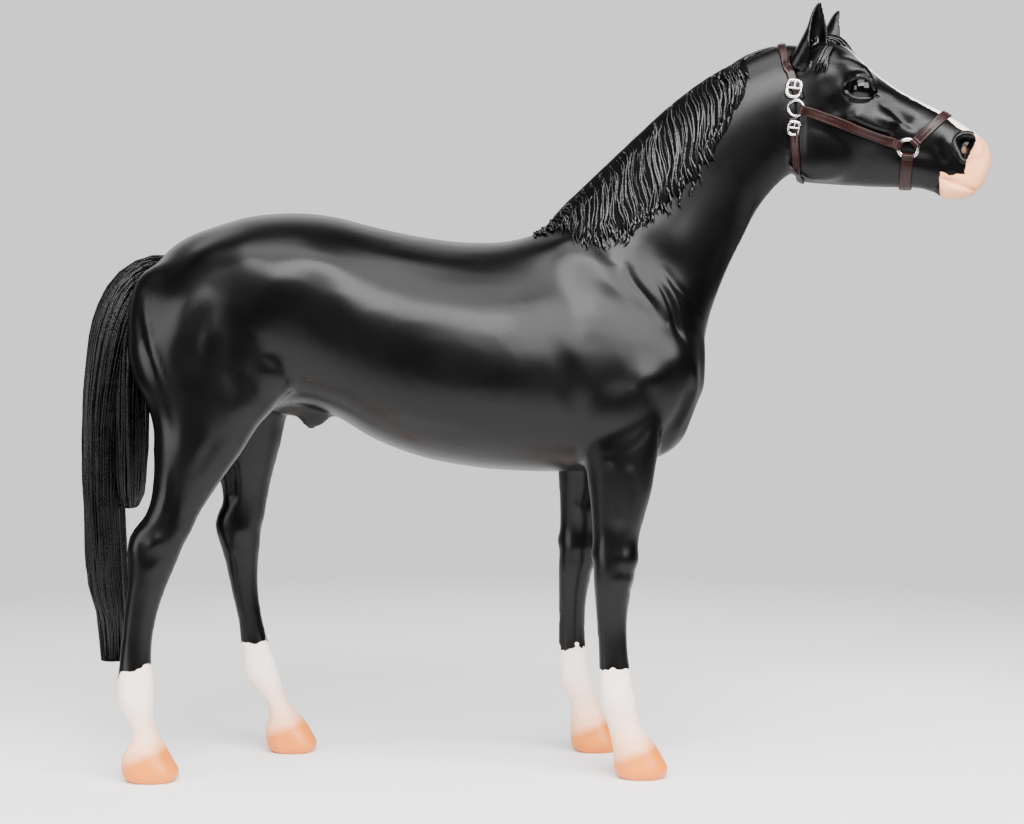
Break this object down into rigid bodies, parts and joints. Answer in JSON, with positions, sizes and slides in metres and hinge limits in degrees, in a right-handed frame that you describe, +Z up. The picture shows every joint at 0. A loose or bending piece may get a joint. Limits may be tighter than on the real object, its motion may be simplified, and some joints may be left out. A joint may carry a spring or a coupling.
{
  "type": "plastic model horse",
  "caption": "Standing Arabian stallion figure in black plastic with white stockings, a pale muzzle, moulded mane and tail, and a brown halter.",
  "frame": {"origin": "middle of the bounding box at floor level, under the belly", "axes": "+X towards the nose, +Y to the horse's left side, +Z up; the soles stand on z = 0"},
  "size_m": [0.2692, 0.0658, 0.228],
  "materials": {
    "body_black": "satin black paint on moulded plastic, with white stockings, a narrow blaze and a pale pink muzzle painted on",
    "hair_black": "glossy black moulded locks",
    "hoof_peach": "pale peach satin paint that fades towards the coronet",
    "eye_gloss": "high gloss near-black brown",
    "strap_brown": "satin reddish brown, like oiled leather",
    "metal_silver": "bright silver"
  },
  "bodies": {
    "root": {"ear_left": "body_black", "ear_right": "body_black", "eye_left": "eye_gloss", "eye_right": "eye_gloss", "foreleg_left": "body_black", "foreleg_right": "body_black", "forelock": "hair_black", "halter_buckle_lower_left": "metal_silver", "halter_buckle_lower_right": "metal_silver", "halter_buckle_upper_left": "metal_silver", "halter_buckle_upper_right": "metal_silver", "halter_cheek_left": "strap_brown", "halter_cheek_right": "strap_brown", "halter_chin": "strap_brown", "halter_crown": "strap_brown", "halter_noseband": "strap_brown", "halter_ring_lower_left": "metal_silver", "halter_ring_lower_right": "metal_silver", "halter_ring_upper_left": "metal_silver", "halter_ring_upper_right": "metal_silver", "halter_throat": "strap_brown", "head": "body_black", "hindleg_left": "body_black", "hindleg_right": "body_black", "hoof_fore_left": "hoof_peach", "hoof_fore_right": "hoof_peach", "hoof_hind_left": "hoof_peach", "hoof_hind_right": "hoof_peach", "mane": "hair_black", "neck": "body_black", "tail": "hair_black", "trunk": "body_black"}
  },
  "joints": []
}
